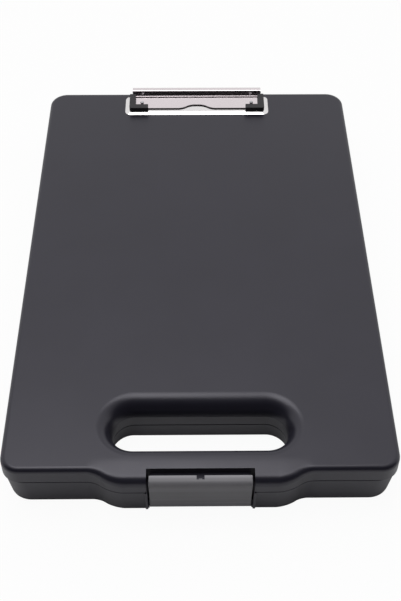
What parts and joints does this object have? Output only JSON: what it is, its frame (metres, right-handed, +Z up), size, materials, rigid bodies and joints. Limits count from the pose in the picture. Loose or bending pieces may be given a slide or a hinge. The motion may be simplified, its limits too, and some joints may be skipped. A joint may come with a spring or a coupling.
{
  "type": "storage clipboard box",
  "caption": "Shallow plastic document case whose hinged lid is the writing board, with a spring paper clip, a hand opening and a front latch.",
  "frame": {"origin": "centre of the closed case's footprint, on the surface it lies on", "axes": "+Z up, +X to the right, +Y from the handle to the hinge"},
  "size_m": [0.254, 0.3988, 0.0478],
  "materials": {
    "lid_plastic": "fine satin grain",
    "base_plastic": "fine satin grain",
    "latch_plastic": "satin",
    "clip_plate": "bright plated sheet",
    "pin_steel": "drawn wire and turned steel",
    "grip_rubber": "moulded, matte"
  },
  "bodies": {
    "base": {"base_shell": "base_plastic", "latch_pin": "pin_steel", "hinge_pin_left": "pin_steel", "hinge_pin_right": "pin_steel"},
    "lid": {"lid_shell": "lid_plastic", "clip_base_plate": "clip_plate", "clip_rivets": "pin_steel", "rivet_washers": "pin_steel", "clip_pivot_rod": "pin_steel", "clip_spring_left": "pin_steel", "clip_spring_right": "pin_steel"},
    "latch": {"latch": "latch_plastic"},
    "jaw": {"clip_jaw": "clip_plate", "clip_grip_left": "grip_rubber", "clip_grip_right": "grip_rubber", "grip_rivets": "pin_steel"}
  },
  "joints": [
    {"name": "lid_hinge", "type": "hinge", "parent": "base", "child": "lid", "pos_m": [0, 0.1962, 0.027], "axis": [-1, 0, 0], "range_deg": [0, 115]},
    {"name": "latch_pivot", "type": "hinge", "parent": "base", "child": "latch", "pos_m": [0, -0.195, 0.0086], "axis": [1, 0, 0], "range_deg": [0, 90]},
    {"name": "clip_open", "type": "hinge", "parent": "lid", "child": "jaw", "pos_m": [0, 0.1887, 0.0439], "axis": [-1, 0, 0], "range_deg": [0, 28], "stiffness_Nm_per_rad": 0.2, "springref_deg": -45.84, "deforming": ["clip_spring_left", "clip_spring_right"]}
  ]
}
